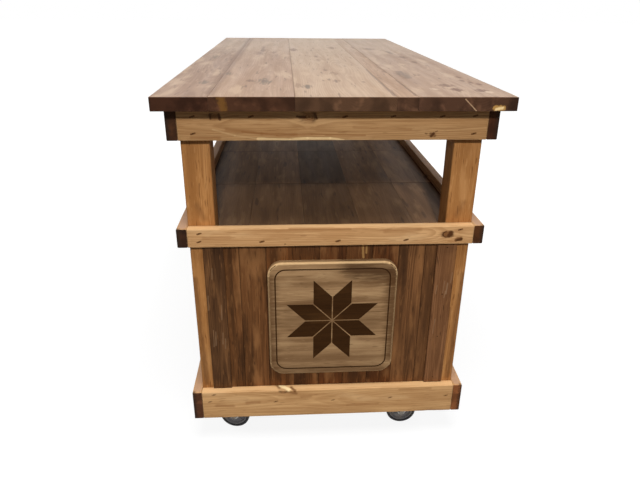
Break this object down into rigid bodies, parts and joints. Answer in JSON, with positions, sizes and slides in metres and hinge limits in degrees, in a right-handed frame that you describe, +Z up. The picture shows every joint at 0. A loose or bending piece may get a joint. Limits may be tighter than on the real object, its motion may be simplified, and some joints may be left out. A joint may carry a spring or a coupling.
{
  "type": "rolling storage cart",
  "caption": "Long wooden work cart with a plank top, an open middle shelf with a raised lip, a lower storage bay closed at both ends, and swivel casters inside a base skirt.",
  "frame": {"origin": "on the floor under the middle of the cart", "axes": "+Z up, +Y along the cart's length away from the end with the plaque, +X across its width"},
  "size_m": [0.914, 2.008, 1.1373],
  "materials": {
    "top_wood": "oiled planks, worn",
    "leg_wood": "golden stain, satin",
    "rail_wood": "golden stain, satin",
    "shelf_wood": "dark stain, satin",
    "inner_wood": "plain pine",
    "deck_wood": "dark stain, satin",
    "panel_wood": "walnut stain, satin",
    "trim_wood": "walnut stain, satin",
    "plaque_wood": "scorched and oiled",
    "plate_steel": "zinc plated",
    "fork_steel": "zinc plated",
    "axle_steel": "zinc plated",
    "wheel_core": "moulded, matt",
    "wheel_tyre": "moulded, matt"
  },
  "bodies": {
    "cart": {"top_board_1": "top_wood", "top_board_2": "top_wood", "top_board_3": "top_wood", "top_board_4": "top_wood", "top_board_5": "top_wood", "leg_front_left": "leg_wood", "leg_front_right": "leg_wood", "leg_rear_left": "leg_wood", "leg_rear_right": "leg_wood", "apron_front": "rail_wood", "apron_rear": "rail_wood", "apron_left": "rail_wood", "apron_right": "rail_wood", "mid_rail_front": "rail_wood", "mid_rail_rear": "rail_wood", "mid_rail_left": "rail_wood", "mid_rail_right": "rail_wood", "base_rail_front": "rail_wood", "base_rail_rear": "rail_wood", "base_rail_left": "rail_wood", "base_rail_right": "rail_wood", "shelf_sheet_1": "shelf_wood", "shelf_sheet_2": "shelf_wood", "shelf_sheet_3": "shelf_wood", "shelf_sheet_4": "shelf_wood", "shelf_bearer_1": "inner_wood", "shelf_bearer_2": "inner_wood", "shelf_bearer_3": "inner_wood", "deck_bearer": "inner_wood", "caster_bolster_front": "inner_wood", "caster_bolster_rear": "inner_wood", "deck": "deck_wood", "end_panel_front": "panel_wood", "end_panel_rear": "panel_wood", "trim_front_left": "trim_wood", "trim_front_right": "trim_wood", "trim_rear_left": "trim_wood", "trim_rear_right": "trim_wood", "plaque": "plaque_wood", "caster_plate_front_left": "plate_steel", "caster_plate_front_right": "plate_steel", "caster_plate_rear_left": "plate_steel", "caster_plate_rear_right": "plate_steel"},
    "swivel_front_left": {"caster_fork_front_left": "fork_steel", "axle_front_left": "axle_steel"},
    "wheel_front_left": {"wheel_core_front_left": "wheel_core", "tyre_front_left": "wheel_tyre"},
    "swivel_front_right": {"caster_fork_front_right": "fork_steel", "axle_front_right": "axle_steel"},
    "wheel_front_right": {"wheel_core_front_right": "wheel_core", "tyre_front_right": "wheel_tyre"},
    "swivel_rear_left": {"caster_fork_rear_left": "fork_steel", "axle_rear_left": "axle_steel"},
    "wheel_rear_left": {"wheel_core_rear_left": "wheel_core", "tyre_rear_left": "wheel_tyre"},
    "swivel_rear_right": {"caster_fork_rear_right": "fork_steel", "axle_rear_right": "axle_steel"},
    "wheel_rear_right": {"wheel_core_rear_right": "wheel_core", "tyre_rear_right": "wheel_tyre"}
  },
  "joints": [
    {"name": "swivel_front_left_turn", "type": "hinge", "parent": "cart", "child": "swivel_front_left", "pos_m": [-0.28559, -0.8699, 0.115], "axis": [0, 0, 1], "continuous": true},
    {"name": "wheel_front_left_roll", "type": "hinge", "parent": "swivel_front_left", "child": "wheel_front_left", "pos_m": [-0.31308, -0.86456, 0.05], "axis": [-0.1908, -0.9816, 0], "continuous": true},
    {"name": "swivel_front_right_turn", "type": "hinge", "parent": "cart", "child": "swivel_front_right", "pos_m": [0.28559, -0.8699, 0.115], "axis": [0, 0, 1], "continuous": true},
    {"name": "wheel_front_right_roll", "type": "hinge", "parent": "swivel_front_right", "child": "wheel_front_right", "pos_m": [0.25761, -0.86892, 0.05], "axis": [-0.0349, -0.9994, 0], "continuous": true},
    {"name": "swivel_rear_left_turn", "type": "hinge", "parent": "cart", "child": "swivel_rear_left", "pos_m": [-0.28559, 0.8699, 0.115], "axis": [0, 0, 1], "continuous": true},
    {"name": "wheel_rear_left_roll", "type": "hinge", "parent": "swivel_rear_left", "child": "wheel_rear_left", "pos_m": [-0.31332, 0.8738, 0.05], "axis": [-0.1392, -0.9903, 0], "continuous": true},
    {"name": "swivel_rear_right_turn", "type": "hinge", "parent": "cart", "child": "swivel_rear_right", "pos_m": [0.28559, 0.8699, 0.115], "axis": [0, 0, 1], "continuous": true},
    {"name": "wheel_rear_right_roll", "type": "hinge", "parent": "swivel_rear_right", "child": "wheel_rear_right", "pos_m": [0.25766, 0.87185, 0.05], "axis": [-0.0698, -0.9976, 0], "continuous": true}
  ]
}
